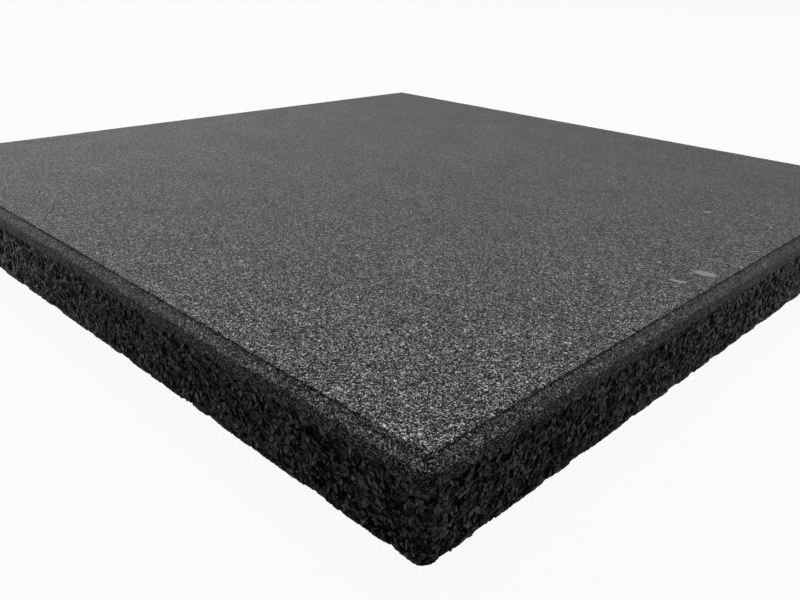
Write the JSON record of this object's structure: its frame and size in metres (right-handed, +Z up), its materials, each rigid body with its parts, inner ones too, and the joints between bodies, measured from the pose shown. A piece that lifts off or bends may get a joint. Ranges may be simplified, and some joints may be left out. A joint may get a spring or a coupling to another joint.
{
  "type": "rubber floor tile",
  "caption": "Square black rubber floor tile of bonded crumb: fine wear layer over a coarse base, with a stepped and bevelled top edge. Lies flat, butted to its neighbours.",
  "frame": {"origin": "middle of the underside, on the floor", "axes": "+Z up through the walking face, X and Y along the square's sides"},
  "size_m": [0.5, 0.5, 0.04],
  "materials": {
    "coarse_rubber": "matte black chips of 2 to 5 mm, pressed and bonded, with dark gaps between them",
    "fine_rubber": "matte dark grey-black granules of about 1 mm, pressed flat, with a fine speckle"
  },
  "bodies": {
    "root": {"base_layer": "coarse_rubber", "wear_layer": "fine_rubber"}
  },
  "joints": []
}
